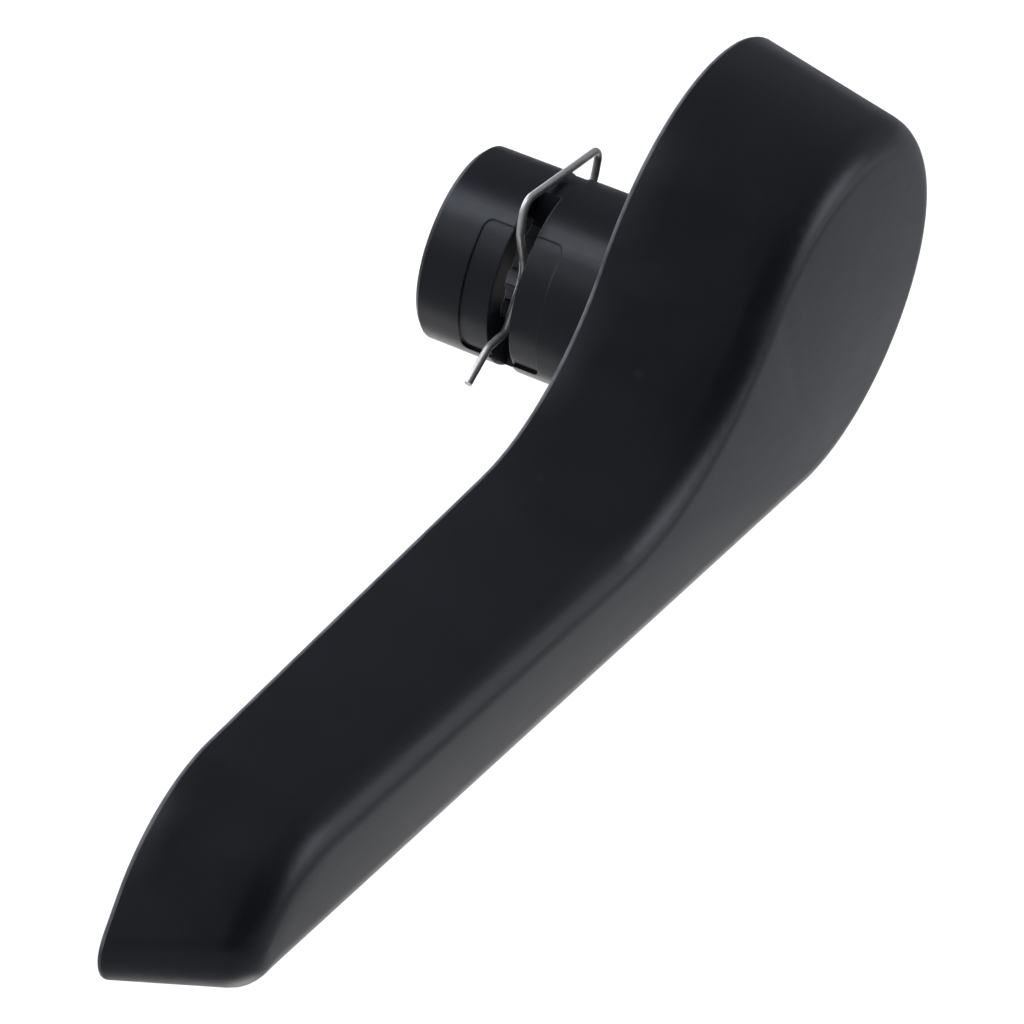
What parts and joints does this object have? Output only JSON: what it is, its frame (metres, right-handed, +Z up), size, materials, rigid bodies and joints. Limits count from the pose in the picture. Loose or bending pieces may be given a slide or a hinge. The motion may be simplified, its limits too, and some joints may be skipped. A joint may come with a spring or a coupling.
{
  "type": "seat recliner lever",
  "caption": "Moulded seat recliner lever: round head and long arm with a ribbed hollow back, and a slotted, splined boss held on its shaft by a sprung wire clip.",
  "frame": {"origin": "centre of the boss's mouth, on the axis of the recliner's shaft", "axes": "+Y out of the socket towards the seat, +Z up, and the arm runs along -X with its long lower edge parallel to X"},
  "size_m": [0.1597, 0.0482, 0.0578],
  "materials": {
    "lever_plastic": "finely grained black moulding",
    "spring_wire": "bright drawn spring wire"
  },
  "bodies": {
    "lever": {"lever_body": "lever_plastic"},
    "clip": {"retaining_clip": "spring_wire"}
  },
  "joints": [
    {"name": "clip_release", "type": "slide", "parent": "lever", "child": "clip", "axis": [0.0645, 0, 0.9979], "range_m": [0, 0.008]}
  ]
}
